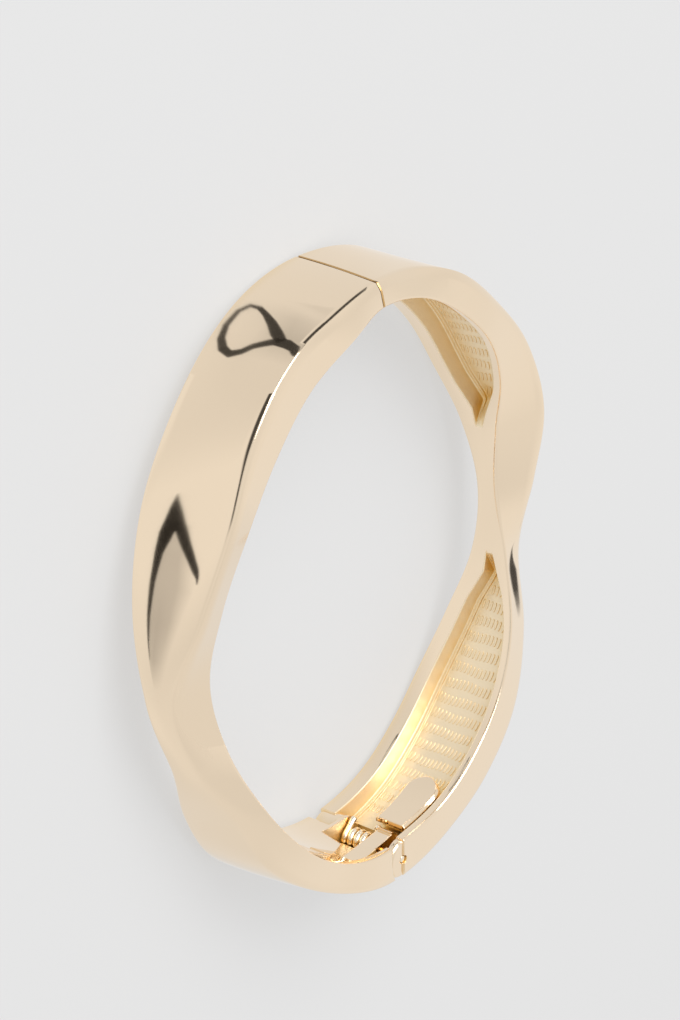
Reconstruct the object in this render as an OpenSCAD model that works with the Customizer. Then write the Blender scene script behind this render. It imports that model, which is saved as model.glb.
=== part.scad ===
// Hinged bangle: a cast metal band in two halves, pinched and turned at both sides like a twisted ribbon.
// It lies on its side: Z runs across the band, Y from the hinge to the seam, X from the front half to the
// back half. The origin is under the middle of the oval, on the surface that the band lies on.

/* [Oval] */
// Length of the opening, from hinge to seam
inner_l = 60; // [52:1:68]
// Width of the opening
inner_w = 50; // [44:1:56]

/* [Band] */
// Width of the band at its widest
band_w = 12; // [10:0.5:15]
// Thickness of the band that the section table is measured in
band_t = 5.3; // [4.8:0.1:6]
// How far the outer face is domed
crown_h = 0.15; // [0.1:0.05:0.3]
// Bevel along the outer edges at the seam and the hinge
outer_bevel = 0.8; // [0.4:0.1:1.1]
// Bevel along the outer edges at the waists
waist_bevel = 1.7; // [1:0.1:2]
// Bevel along the inner edges
inner_bevel = 0.3; // [0.15:0.05:0.4]
// Gap between the two halves at the seam
seam_gap = 0.1; // [0.05:0.05:0.3]

/* [Pockets] */
// Depth of the pockets inside the band
pocket_d = 2.3; // [1.5:0.1:2.6]
// Width of the rim on the near side of a pocket
near_rim_w = 1.1; // [0.8:0.1:1.3]
// Width of the rim on the far side of a pocket
far_rim_w = 2; // [1.4:0.1:2.4]
// Width of the band at which a pocket closes to a point
closed_w = 4.7; // [4:0.1:5.5]
// Least metal between a pocket and the outer face
skin_t = 0.9; // [0.7:0.1:1.2]
// Least metal between a pocket and the band's sides
side_t = 0.5; // [0.4:0.1:0.7]

/* [Hinge] */
// Distance of the hinge from the oval's long axis, towards the front half
hinge_shift = 1.1; // [0:0.1:2]
// Diameter of the hinge pin
pin_d = 0.9; // [0.8:0.1:1.3]
// Radial clearance round the pin
pin_gap = 0.05; // [0.02:0.01:0.08]
// Radius of the ears and knuckles
barrel_r = 2.35; // [2.2:0.05:2.4]
// Clearance between a barrel and the other half
barrel_gap = 0.15; // [0.1:0.05:0.25]
// Bevel round the free end of each ear
ear_bevel = 0.45; // [0.2:0.05:0.5]
// Distance between the outer faces of the ears
hinge_w = 11; // [10.8:0.1:11.6]
// Width of the back half's near ear
near_ear_w = 0.9; // [0.8:0.1:1.2]
// Width of the back half's far ear
far_ear_w = 2.8; // [2.4:0.1:3]
// Width of the front half's near knuckle
near_knuckle_w = 1.9; // [1.6:0.1:2.1]
// Width of the front half's far knuckle
far_knuckle_w = 0.5; // [0.4:0.1:0.8]
// Gap between the near knuckle and the near ear
ear_gap = 1.1; // [0.8:0.1:1.3]
// Length of the open bay over the spring, from the pin into the front half
bay_l = 4.4; // [3.6:0.1:5]
// Width of the near rim beside the channel
rim_w = 0.6; // [0.5:0.05:0.8]
// Length of the channel beside the near knuckle
channel_l = 13.5; // [10:0.5:15]
// Depth of the channel where it is deepest
channel_d = 1.3; // [0.9:0.1:1.5]
// Length of the groove that goes on from the ear gap beside the near rim
groove_l = 9; // [7:0.5:10]
// Depth of that groove
groove_d = 1.9; // [1.6:0.1:2.2]

/* [Spring] */
// Outer diameter of the coils
spring_d = 2.9; // [2.6:0.1:3.1]
// Diameter of the spring wire
wire_d = 0.75; // [0.6:0.05:0.8]
// Length of each straight leg
leg_l = 2.2; // [1.5:0.1:2.2]

/* [Hinge plate] */
// Length of the smooth plate in the back half
plate_l = 7.6; // [6:0.1:9]
// Distance of the plate's end from the pin
plate_start = 2.1; // [2:0.1:3]
// Distance of the plate's long edge from the middle of the band
plate_edge = 0.4; // [-0.5:0.1:0.8]
// Thickness of the plate's free end
plate_lip = 0.7; // [0.5:0.05:0.9]
// Bevel round the plate
plate_bevel = 0.3; // [0.1:0.05:0.4]
// Gap under and beside the plate
plate_gap = 0.05; // [0.03:0.01:0.1]

/* [Hidden] */

gold = "#e7d2ab";
steel = "#d9d2c4";

// The band's section at every 15 degrees, counted from the seam along the front half to the hinge, and on
// along the back half to the seam again. Edges are shares of half the band's width, near side positive.
// Columns: near inner edge, near outer edge, far inner edge, far outer edge,
// then the thickness at the near and the far outer edge, as shares of band_t.
band_rows = [
    [0.78, 0.70, -0.84, -1.00, 0.45, 0.67], // 0, seam
    [0.98, 0.82, -0.83, -1.00, 0.54, 0.70],
    [0.89, 0.93, -0.79, -0.88, 0.84, 0.84],
    [0.85, 0.95, -0.73, -0.79, 0.87, 0.96], // 45
    [0.74, 0.94, -0.65, -0.69, 0.75, 1.12],
    [0.48, 0.72, -0.53, -0.53, 0.84, 1.19],
    [0.24, 0.23, -0.43, -0.28, 0.88, 1.18], // 90, front waist
    [0.41, 0.29, -0.48, -0.28, 0.66, 0.86],
    [0.76, 0.46, -0.65, -0.67, 0.44, 0.72],
    [0.96, 0.55, -0.78, -0.83, 0.62, 0.80], // 135
    [0.98, 0.78, -0.87, -0.88, 0.66, 0.80],
    [0.97, 1.02, -0.92, -0.89, 0.70, 0.85],
    [0.94, 0.95, -0.94, -0.94, 0.87, 0.88], // 180, hinge
    [1.01, 0.98, -0.93, -0.87, 0.89, 0.88],
    [1.03, 1.00, -0.94, -0.80, 0.98, 0.84],
    [1.00, 0.93, -0.89, -0.70, 1.05, 0.80], // 225
    [0.84, 0.62, -0.66, -0.55, 1.10, 0.80],
    [0.47, 0.24, -0.33, -0.43, 1.04, 0.84],
    [0.15, 0.52, -0.27, -0.48, 1.03, 0.92], // 270, back waist
    [0.27, 0.81, -0.52, -0.65, 1.07, 0.98],
    [0.65, 0.78, -0.84, -0.65, 1.05, 0.94],
    [0.84, 0.73, -0.89, -0.58, 0.83, 0.80], // 315
    [0.74, 0.65, -0.88, -0.62, 0.71, 0.66],
    [0.75, 0.51, -0.87, -0.82, 0.48, 0.74],
];
row_step = 360 / len(band_rows);
NEAR_IN = 0;
NEAR_OUT = 1;
FAR_IN = 2;
FAR_OUT = 3;
NEAR_T = 4;
FAR_T = 5;

// Angles at which the pockets start and stop; the back ones start past the hinge, and so are open there
front_pocket = [14, 144];
back_pocket = [168, 346];
pocket_ramp = 2;      // degrees over which a pocket's end wall rises
pocket_slope = 3;     // depth gained for each millimetre that a pocket opens
pocket_spread = 1.5;  // width that a pocket gains for each millimetre that the band widens
near_spare = 0.5;     // share that the near rim takes as a pocket closes, the far rim takes the rest
wall_draft = 0.12;    // how far a pocket's wall leans, for each millimetre of depth
slices = 96;          // sections along each half
chain = 12;           // steps along each side of a section, from rim to rim
sliver = 0.15;        // share of the inner face that stays between the rims where they meet

half_w = band_w / 2;
pin_r = pin_d / 2;
bore_r = pin_r + pin_gap;
clear_r = barrel_r + barrel_gap;
seam_a = asin(seam_gap / inner_w);
face_gap = 0.05;
far_ear_in = far_ear_w - hinge_w / 2;
near_ear_in = hinge_w / 2 - near_ear_w;
far_knuckle = [far_ear_in + face_gap, far_ear_in + face_gap + far_knuckle_w];
near_knuckle = [near_ear_in - ear_gap - near_knuckle_w, near_ear_in - ear_gap];
bay = [far_knuckle[1], near_knuckle[0]];
coils = 3;
first_turn = 126;   // where the far leg leaves the coils, seen along the pin
last_turn = 345;    // where the near leg leaves them
turns_angle = 360 * coils + last_turn - first_turn;
wire = min(wire_d, (bay[1] - bay[0] - 0.2) / (1 + 1.05 * turns_angle / 360));
coil_r = (spring_d - wire) / 2;
bay_r = spring_d / 2 + barrel_gap;

// The oval's middle, so that the origin is under the middle of the whole
seam_t = max(band_rows[0][NEAR_T], band_rows[0][FAR_T]) * band_t;
hinge_t = max(band_rows[12][NEAR_T], band_rows[12][FAR_T]) * band_t;
front_t = max(band_rows[6][NEAR_T], band_rows[6][FAR_T]) * band_t;
back_t = max(band_rows[18][NEAR_T], band_rows[18][FAR_T]) * band_t;
centre = [(front_t - back_t) / 2, (hinge_t - seam_t) / 2, half_w];

// The pin lies so deep that the barrels just reach the domed outer face
pin_depth = hinge_t + crown_h - barrel_r - 0.03;
hinge_a = 180 - asin(2 * hinge_shift / inner_w);
ear_r = barrel_r - 0.1;

// A value of the section table at any angle, on a smooth curve through the rows
function row(i) = band_rows[(i % len(band_rows) + len(band_rows)) % len(band_rows)];
function curve(a, b, c, d, u) =
    b + 0.5 * u * (c - a + u * (2 * a - 5 * b + 4 * c - d + u * (3 * (b - c) + d - a)));
function value(angle, column) =
    let (i = floor(angle / row_step), u = angle / row_step - i)
    curve(row(i - 1)[column], row(i)[column], row(i + 1)[column], row(i + 2)[column], u);
function edge(angle, column) = half_w * value(angle, column);
function thick(angle, column) = band_t * value(angle, column);

// A point of the band, from the angle round the oval, the place across the band and the height over the
// inner face
function outward(angle) =
    let (v = [-sin(angle) / inner_w, cos(angle) / inner_l])
    v / norm(v);
function place(angle, across, height) =
    let (n = outward(angle))
    [
        -sin(angle) * inner_w / 2 + n[0] * height,
        cos(angle) * inner_l / 2 + n[1] * height,
        across
    ];

function clamp(x, low, high) = max(low, min(high, x));
function mix(a, b, u) = a + (b - a) * u;
function unit(v) = v / norm(v);
function reach(p, q, size) = p + unit(q - p) * min(size, 0.45 * norm(q - p));
function bend(a, b, c, u) = mix(mix(a, b, u), mix(b, c, u), u);
function corner(p, before, after, size, steps) =
    let (a = reach(p, before, size), c = reach(p, after, size))
    [for (i = [0:steps]) bend(a, p, c, i / steps)];

// The outside of a section, from the near rim over the outer face to the far rim: place across and height
function outside(angle) =
    let (
        near_in = [edge(angle, NEAR_IN), 0],
        near_out = [edge(angle, NEAR_OUT), thick(angle, NEAR_T)],
        far_out = [edge(angle, FAR_OUT), thick(angle, FAR_T)],
        far_in = [edge(angle, FAR_IN), 0],
        bevel = mix(outer_bevel, waist_bevel, pow(sin(angle), 2)),
        near_arc = corner(near_out, near_in, far_out, bevel, 2),
        far_arc = corner(far_out, near_out, far_in, bevel, 2)
    )
    concat(
        corner(near_in, far_in, near_out, inner_bevel, 1),
        near_arc,
        [for (u = [0.25, 0.5, 0.75])
            mix(near_arc[2], far_arc[0], u) + [0, 4 * crown_h * u * (1 - u)]],
        far_arc,
        corner(far_in, far_out, near_in, inner_bevel, 1)
    );

// The pocket: how wide it opens, how deep it is, and the inside of a section from the near to the far rim
function gate(angle, span) =
    clamp(min((angle - span[0]) / pocket_ramp, (span[1] - angle) / pocket_ramp), 0, 1);
function full_w(angle) = edge(angle, NEAR_IN) - edge(angle, FAR_IN);
function spare(angle) =
    max(0, full_w(angle) - near_rim_w - far_rim_w - max(0, pocket_spread * (full_w(angle) - closed_w)));
function opening(angle) = full_w(angle) - near_rim_w - far_rim_w - spare(angle);
function depth(angle, span) =
    gate(angle, span) * clamp(
        min(opening(angle) * pocket_slope, min(thick(angle, NEAR_T), thick(angle, FAR_T)) - skin_t),
        0, pocket_d);
function side(angle, inner, outer, across_t, d) =
    mix(edge(angle, inner), edge(angle, outer), min(1, (d + side_t) / thick(angle, across_t)));
function rims(angle, d) =
    let (
        near_in = edge(angle, NEAR_IN),
        far_in = edge(angle, FAR_IN),
        middle = (near_in + far_in) / 2,
        least = sliver * (near_in - far_in) / 2,
        near_rim = min(
            near_in - near_rim_w - near_spare * spare(angle),
            side(angle, NEAR_IN, NEAR_OUT, NEAR_T, d) - side_t),
        far_rim = max(
            far_in + far_rim_w + (1 - near_spare) * spare(angle),
            side(angle, FAR_IN, FAR_OUT, FAR_T, d) + side_t)
    )
    [max(near_rim, middle + least), min(far_rim, middle - least)];
function inside(angle, span) =
    let (
        d = depth(angle, span),
        rim = rims(angle, d),
        lean = wall_draft * d
    )
    [for (i = [0:chain])
        let (
            wall = clamp(min(i, chain - i) / 2, 0, 1),
            u = clamp((i - 2) / (chain - 4), 0, 1),
            side = i < chain / 2 ? rim[0] - lean * wall : rim[1] + lean * wall,
            floor_a = mix(rim[0] - lean, rim[1] + lean, u),
            flat_a = mix(rim[0], rim[1], i / chain)
        )
        [d > 0.05 ? (wall < 1 ? side : floor_a) : flat_a, d * wall]];

// A solid through many sections, each a closed loop whose two sides face each other
function ladder(n) = [for (i = [0:n / 2 - 2])
    let (a = i, b = i + 1, c = n - 2 - i, d = n - 1 - i)
    each i < n / 4 - 1 ? [[a, b, d], [b, c, d]] : [[a, b, c], [a, c, d]]];
module loft(sections) {
    n = len(sections[0]);
    last = len(sections) - 1;
    points = [for (s = sections) for (p = s) p];
    skin = [for (k = [0:last - 1]) for (i = [0:n - 1])
        let (a = k * n + i, b = k * n + (i + 1) % n)
        each [[a, b, b + n], [a, b + n, a + n]]];
    caps = [for (q = ladder(n)) each [turned(q), [for (i = q) i + last * n]]];
    polyhedron(points = points, faces = concat(skin, caps), convexity = 10);
}

function turned(list) = [for (i = [len(list) - 1:-1:0]) list[i]];
function section(angle, span) =
    [for (p = concat(outside(angle), turned(inside(angle, span)))) place(angle, p[0], p[1])];

module band(from, to, span) {
    loft([for (k = [0:slices]) section(mix(to, from, k / slices), span)]);
}

// The hinge's own place: the pin at the origin, the wrist towards +Y
module at_hinge() {
    way = outward(hinge_a);
    translate(place(hinge_a, 0, pin_depth))
        rotate([0, 0, asin(way[0])])
            children();
}

// A round bar along the pin's axis
module along_pin(r, low, high) {
    at_hinge()
        translate([0, 0, low])
            cylinder(r = r, h = high - low, $fn = 48);
}

// An ear, bevelled round its free end
module ear(inner, free) {
    way = sign(free - inner);
    along_pin(ear_r, min(inner, free - way * ear_bevel), max(inner, free - way * ear_bevel));
    at_hinge()
        translate([0, 0, min(free, free - way * ear_bevel)])
            cylinder(
                r1 = way > 0 ? ear_r : ear_r - ear_bevel,
                r2 = way > 0 ? ear_r - ear_bevel : ear_r,
                h = ear_bevel, $fn = 48);
}

// Room for an ear in the front half: round the pin, and open towards the wrist
module ear_room(low, high) {
    room_r = ear_r + barrel_gap;
    along_pin(room_r, low, high);
    at_hinge()
        translate([-room_r, 0, low])
            cube([room_r + 1, pin_depth + 2, high - low]);
}

// A trench in the inner face of the front half. Each row holds the distance from the pin, the far and the
// near side and the depth. The rise is how far the cut reaches over the face.
trench_steps = 4;     // sections from one row to the next
function fine(rows) = [for (i = [0:len(rows) - 2]) for (k = [0:trench_steps - 1])
    mix(rows[i], rows[i + 1], k / trench_steps)];
module trench(rows, rise) {
    loft([for (r = concat(fine(rows), [rows[len(rows) - 1]]))
        let (angle = hinge_a - asin(1) * r[0] / (inner_w * PI / 4))
        [
            place(angle, r[2], -rise), place(angle, r[2], r[3]),
            place(angle, r[1], r[3]), place(angle, r[1], -rise)
        ]]);
}

// The bay over the spring, with a slanted end
module spring_room() {
    along_pin(bay_r, bay[0] + 0.02, bay[1] - 0.02);
    far_a = bay[0] + 0.05;
    near_a = bay[1] - 0.05;
    trench([
        [-0.5, far_a, near_a, pin_depth - 0.1],
        [bay_r * 0.8, far_a, near_a, pin_depth - 0.1],
        [bay_l, far_a, near_a, pin_depth * 0.7],
        [bay_l + 1, near_a - 0.3, near_a, pin_depth * 0.7]
    ], 1.5);
}

// The channel beside the near knuckle: it runs out at the near rim
module channel() {
    top = half_w * band_rows[12][NEAR_IN] - rim_w;
    far_a = bay[1] - 0.15;
    trench([
        [-0.7, far_a, top, channel_d * 0.4],
        [clear_r, far_a, top, channel_d * 0.6],
        [bay_l + 1, far_a - 0.2, top, channel_d],
        [channel_l, top - 0.3, top, channel_d * 0.4]
    ], 2);
    trench([
        [clear_r * 0.6, near_knuckle[1] + 0.15, top - 0.06, groove_d * 0.9],
        [groove_l * 0.7, near_knuckle[1] + 0.2, top - 0.06, groove_d],
        [groove_l, top - 0.4, top - 0.06, groove_d * 0.5]
    ], 1.1);
}

module front_half() {
    color(gold)
        translate(centre)
            difference() {
                union() {
                    band(seam_a, hinge_a - seam_a, front_pocket);
                    along_pin(barrel_r, far_knuckle[0], far_knuckle[1]);
                    along_pin(barrel_r, near_knuckle[0], near_knuckle[1]);
                }
                ear_room(-half_w - 2, far_knuckle[0] - 0.02);
                ear_room(near_knuckle[1] + 0.02, half_w + 2);
                spring_room();
                channel();
                along_pin(bore_r, -half_w, half_w);
            }
}

module back_half() {
    color(gold)
        translate(centre)
            difference() {
                union() {
                    band(hinge_a + seam_a, 360 - seam_a, back_pocket);
                    ear(far_ear_in, -hinge_w / 2);
                    ear(near_ear_in, hinge_w / 2);
                }
                along_pin(clear_r, far_ear_in + 0.02, near_ear_in - 0.02);
                along_pin(bore_r, -half_w - 1, half_w + 1);
            }
}

// The plate fills the near side of the pocket beside the hinge, flush with the inner face
plate_from = hinge_a + asin(2 * plate_start / inner_w);
plate_deep = hinge_a + asin(2 * (plate_start + 1) / inner_w);
plate_to = plate_from + plate_l / inner_w * 2 * 57.3;
plate_steps = 14;
function plate_section(angle) =
    let (
        left = (plate_to - angle) * inner_w / 2 / 57.3,
        near_a = rims(angle, pocket_d)[0] - plate_gap - wall_draft * pocket_d,
        half = (near_a - plate_edge) / 2,
        mid = plate_edge + half,
        side = left < half ? sqrt(max(0.04, half * half - pow(half - left, 2))) : half,
        low = angle < plate_deep ? plate_lip : depth(angle, back_pocket) - plate_gap,
        cut = min(plate_bevel, side / 2)
    )
    [for (p = [
        [mid + side, low], [mid + side, cut], [mid + side - cut, 0],
        [mid - side + cut, 0], [mid - side, cut], [mid - side, low]
    ]) place(angle, p[0], p[1])];

module hinge_plate() {
    angles = concat(
        [plate_from, plate_deep - 0.01, plate_deep],
        [for (i = [1:plate_steps]) mix(plate_deep, plate_to - 0.05, sin(90 * i / plate_steps))]);
    color(gold)
        translate(centre)
            loft([for (a = angles) plate_section(a)]);
}

module hinge_pin() {
    color(steel)
        translate(centre)
            along_pin(pin_r, -hinge_w / 2 - 0.05, hinge_w / 2 + 0.05);
}

// The spring's wire: a straight leg, the coils, and a straight leg
wire_sides = 8;
coil_steps = 16;
leg_steps = 3;
coil_ends = [bay[0] + wire / 2 + 0.1, bay[1] - wire / 2 - 0.1];
function coil_point(u) =
    let (a = first_turn + turns_angle * u)
    [coil_r * cos(a), coil_r * sin(a), mix(coil_ends[0], coil_ends[1], u)];
function coil_way(u) =
    let (a = first_turn + turns_angle * u)
    [-sin(a), cos(a), 0];
function wire_points() = concat(
    [for (i = [leg_steps:-1:1]) coil_point(0) - coil_way(0) * leg_l * i / leg_steps],
    [for (i = [0:coils * coil_steps]) coil_point(i / (coils * coil_steps))],
    [for (i = [1:leg_steps]) coil_point(1) + coil_way(1) * leg_l * i / leg_steps]
);
module hinge_spring() {
    path = wire_points();
    last = len(path) - 1;
    rings = [for (k = [0:last])
        let (
            way = unit(path[min(k + 1, last)] - path[max(k - 1, 0)]),
            side = unit(cross(way, [0, 0, 1])),
            up = cross(side, way)
        )
        [for (j = [0:wire_sides - 1])
            let (a = 360 * j / wire_sides)
            path[k] + (side * cos(a) + up * sin(a)) * wire / 2]];
    color(steel)
        translate(centre)
            at_hinge()
                loft(rings);
}

front_half();
back_half();
hinge_plate();
hinge_pin();
hinge_spring();
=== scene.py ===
# Hinged twisted bangle, lying on its side on a pale floor.
# The band, its pockets and its hinge are rebuilt here from the CAD model's sizes, in finer steps.
import math

import bmesh
import bpy
import numpy as np
from mathutils import Matrix, Vector


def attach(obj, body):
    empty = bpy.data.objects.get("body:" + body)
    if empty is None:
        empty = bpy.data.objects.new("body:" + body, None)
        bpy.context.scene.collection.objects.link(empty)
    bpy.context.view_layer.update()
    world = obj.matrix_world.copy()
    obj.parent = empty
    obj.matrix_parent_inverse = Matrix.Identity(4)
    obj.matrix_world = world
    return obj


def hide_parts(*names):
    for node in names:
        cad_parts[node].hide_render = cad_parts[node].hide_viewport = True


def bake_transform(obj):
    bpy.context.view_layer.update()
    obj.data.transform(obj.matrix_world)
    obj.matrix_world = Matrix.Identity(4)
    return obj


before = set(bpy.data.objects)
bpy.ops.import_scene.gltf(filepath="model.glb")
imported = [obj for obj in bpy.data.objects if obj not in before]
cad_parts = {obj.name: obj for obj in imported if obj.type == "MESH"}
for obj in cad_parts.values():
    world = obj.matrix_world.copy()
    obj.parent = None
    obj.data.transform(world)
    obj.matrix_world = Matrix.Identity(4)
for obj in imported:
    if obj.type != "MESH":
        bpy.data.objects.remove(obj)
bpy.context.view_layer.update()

# Sizes in millimetres, as in the CAD model
MM = 0.001
INNER_L = 60.0
INNER_W = 50.0
HALF_W = 6.0
BAND_T = 5.3
CROWN = 0.15
OUTER_BEVEL = 0.8
WAIST_BEVEL = 1.7
INNER_BEVEL = 0.3
SEAM_GAP = 0.1
POCKET_D = 2.3
NEAR_RIM = 1.1
FAR_RIM = 2.0
CLOSED_W = 4.7
SKIN_T = 0.9
SIDE_T = 0.5
HINGE_SHIFT = 1.1
PIN_R = 0.45
PIN_SINK = 0.03
PIN_PROUD = 0.05
BORE_R = 0.5
BARREL_R = 2.35
BARREL_GAP = 0.15
EAR_STEP = 0.1
EAR_BEVEL = 0.45
HINGE_W = 11.0
NEAR_EAR = 0.9
FAR_EAR = 2.8
NEAR_KNUCKLE = 1.9
FAR_KNUCKLE = 0.5
EAR_GAP = 1.1
BAY_L = 4.4
RIM_W = 0.6
CHANNEL_L = 13.5
CHANNEL_D = 1.3
GROOVE_L = 9.0
GROOVE_D = 1.9
SPRING_D = 2.9
WIRE_MAX = 0.75
COIL_ROOM = 0.1
LEG_L = 2.2
PLATE_L = 7.6
PLATE_START = 2.1
PLATE_EDGE = 0.4
PLATE_LIP = 0.7
PLATE_BEVEL = 0.3
PLATE_GAP = 0.05
FACE_GAP = 0.05
COILS = 3
# The rise of a coil, as a share of the wire, and the angles that the wire's legs leave from
COIL_PITCH = 1.05
FIRST_TURN = 126
LAST_TURN = 345

# Details that only this scene has, in millimetres
LEDGE_W = 0.45
NEAR_LEDGE_W = 0.2
LEDGE_H = 0.28
LIP = 0.13
LIP_LEAST = 0.02
FOOT = 0.16
FOOT_LEAST = 0.01
SEAM_SOFT = 0.12
DASH_L = 1.15
DASH_W = 0.26
DASH_H = 0.07
DASH_SINK = 0.02
DASH_SKEW = 0.12
DASH_MARGIN = 0.3
DASH_PITCH = 0.5
DASH_ROWS = 1.8
# Angles of such details, in degrees
SEAM_SOFT_A = 0.32
CRISP_TO = 28
SOFT_FROM = 62
# Shares that they take
CRISP = 0.25
HOLD_STRIP = 0.015
CUT_SHARE = 0.45
DASH_DEPTH = 0.6
DASH_STAGGER = 0.25
DASH_SWAY = 0.06
# The CAD model has 3: here the pockets' floors rise more gently to their pointed ends
POCKET_SLOPE = 1.3

# The band's section every 15 degrees, from the seam along the front half to the hinge and back.
# Near inner edge, near outer edge, far inner edge and far outer edge, as shares of half its width,
# then the thickness at the near and at the far outer edge, as shares of the band's thickness.
ROWS = [
    (0.78, 0.70, -0.84, -1.00, 0.45, 0.67),
    (0.98, 0.82, -0.83, -1.00, 0.54, 0.70),
    (0.89, 0.93, -0.79, -0.88, 0.84, 0.84),
    (0.85, 0.95, -0.73, -0.79, 0.87, 0.96),
    (0.74, 0.94, -0.65, -0.69, 0.75, 1.12),
    (0.48, 0.72, -0.53, -0.53, 0.84, 1.19),
    (0.24, 0.23, -0.43, -0.28, 0.88, 1.18),
    (0.41, 0.29, -0.48, -0.28, 0.66, 0.86),
    (0.76, 0.46, -0.65, -0.67, 0.44, 0.72),
    (0.96, 0.55, -0.78, -0.83, 0.62, 0.80),
    (0.98, 0.78, -0.87, -0.88, 0.66, 0.80),
    (0.97, 1.02, -0.92, -0.89, 0.70, 0.85),
    (0.94, 0.95, -0.94, -0.94, 0.87, 0.88),
    (1.01, 0.98, -0.93, -0.87, 0.89, 0.88),
    (1.03, 1.00, -0.94, -0.80, 0.98, 0.84),
    (1.00, 0.93, -0.89, -0.70, 1.05, 0.80),
    (0.84, 0.62, -0.66, -0.55, 1.10, 0.80),
    (0.47, 0.24, -0.33, -0.43, 1.04, 0.84),
    (0.15, 0.52, -0.27, -0.48, 1.03, 0.92),
    (0.27, 0.81, -0.52, -0.65, 1.07, 0.98),
    (0.65, 0.78, -0.84, -0.65, 1.05, 0.94),
    (0.84, 0.73, -0.89, -0.58, 0.83, 0.80),
    (0.74, 0.65, -0.88, -0.62, 0.71, 0.66),
    (0.75, 0.51, -0.87, -0.82, 0.48, 0.74),
]
NEAR_IN, NEAR_OUT, FAR_IN, FAR_OUT, NEAR_T, FAR_T = range(6)
FRONT_POCKET = (14, 144)
BACK_POCKET = (168, 346)
POCKET_RAMP = 2
POCKET_SPREAD = 1.5
NEAR_SPARE = 0.5
WALL_DRAFT = 0.12
SLIVER = 0.15

# Places that follow from the sizes
SEAM_T = max(ROWS[0][4:]) * BAND_T
HINGE_T = max(ROWS[12][4:]) * BAND_T
CENTRE = np.array([
    (max(ROWS[6][4:]) - max(ROWS[18][4:])) * BAND_T / 2,
    (HINGE_T - SEAM_T) / 2,
    HALF_W,
])
PIN_DEPTH = HINGE_T + CROWN - BARREL_R - PIN_SINK
HINGE_A = 180 - math.degrees(math.asin(2 * HINGE_SHIFT / INNER_W))
CLEAR_R = BARREL_R + BARREL_GAP
EAR_R = BARREL_R - EAR_STEP
SEAM_A = math.degrees(math.asin(SEAM_GAP / INNER_W))
FAR_EAR_IN = FAR_EAR - HINGE_W / 2
NEAR_EAR_IN = HINGE_W / 2 - NEAR_EAR
FAR_KNUCKLE_Z = (FAR_EAR_IN + FACE_GAP, FAR_EAR_IN + FACE_GAP + FAR_KNUCKLE)
NEAR_KNUCKLE_Z = (NEAR_EAR_IN - EAR_GAP - NEAR_KNUCKLE, NEAR_EAR_IN - EAR_GAP)
BAY = (FAR_KNUCKLE_Z[1], NEAR_KNUCKLE_Z[0])
TURNS = (360 * COILS + LAST_TURN - FIRST_TURN) / 360
WIRE = min(WIRE_MAX, (BAY[1] - BAY[0] - 2 * COIL_ROOM) / (1 + COIL_PITCH * TURNS))
COIL_R = (SPRING_D - WIRE) / 2
BAY_R = SPRING_D / 2 + BARREL_GAP
RIM_A = HALF_W * ROWS[12][0] - RIM_W

# Fineness of the meshes made here
SLICES = 420
OUTER_ARC = 8
OUTER_FACE = 10
INNER_ARC = 3
POCKET_ARC = 3
FLOOR_STEPS = 10
TRENCH_STEPS = 8
BAR_SIDES = 96
PIN_SIDES = 48
WIRE_SIDES = 16
COIL_STEPS = 40
LEG_STEPS = 6
PLATE_STEPS = 30
CARD_STEPS = 4

# Angles in degrees from which an edge is drawn sharp
BAND_SHARP = 50
DASH_SHARP = 50
WIRE_SHARP = 60
PLATE_SHARP = 30

# The places of a half's three materials
PLATED, HOLLOW, SEAM_END = range(3)


# The band's formulas

def value(angle, column):
    """A column of the table at any angle, on a smooth curve through the rows."""
    apart = 360 / len(ROWS)
    i = math.floor(angle / apart)
    u = angle / apart - i
    a, b, c, d = (ROWS[(i + k) % len(ROWS)][column] for k in (-1, 0, 1, 2))
    return b + 0.5 * u * (c - a + u * (2 * a - 5 * b + 4 * c - d + u * (3 * (b - c) + d - a)))


def edge(angle, column):
    return HALF_W * value(angle, column)


def thick(angle, column):
    return BAND_T * value(angle, column)


def outward(angle):
    """The way out of the oval, square to it."""
    a = math.radians(angle)
    n = np.array([-math.sin(a) / INNER_W, math.cos(a) / INNER_L])
    return n / np.linalg.norm(n)


def place(angle, across, height):
    """A point in metres, from the angle round the oval, the place across and the height."""
    a = math.radians(angle)
    n = outward(angle)
    x = -math.sin(a) * INNER_W / 2 + n[0] * height
    y = math.cos(a) * INNER_L / 2 + n[1] * height
    return (np.array([x, y, across]) + CENTRE) * MM


PIN = place(HINGE_A, 0, PIN_DEPTH)
PIN_TURN = math.asin(outward(HINGE_A)[0])


def from_pin(x, y, z):
    """A point given from the middle of the pin, y towards the wrist, in metres in the row frame."""
    c, s = math.cos(PIN_TURN), math.sin(PIN_TURN)
    return PIN + np.array([c * x - s * y, s * x + c * y, z]) * MM


def bend(a, b, c, u):
    """A point of the curve that leaves a towards b and comes to c from b."""
    return (1 - u) * ((1 - u) * a + u * b) + u * ((1 - u) * b + u * c)


def corner(p, before, after, size, steps, soft=1.0):
    """A corner at p, as steps + 1 points: rounded where soft is 1, a flat bevel where it is 0."""
    def reach(q):
        way = q - p
        length = max(np.linalg.norm(way), 1e-9)
        return p + way / length * min(size, CUT_SHARE * length)
    a, c = reach(before), reach(after)
    return [
        (1 - soft) * (a + (c - a) * i / steps) + soft * bend(a, p, c, i / steps)
        for i in range(steps + 1)
    ]


def step(x, low, high):
    """A smooth rise from 0 at low to 1 at high."""
    u = min(max((x - low) / (high - low), 0.0), 1.0)
    return u * u * (3 - 2 * u)


def softness(angle):
    """How round the outer bevel is: crisp beside the seam, soft at the waists."""
    from_seam = min(angle, 360 - angle)
    return CRISP + (1 - CRISP) * step(from_seam, CRISP_TO, SOFT_FROM)


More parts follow.
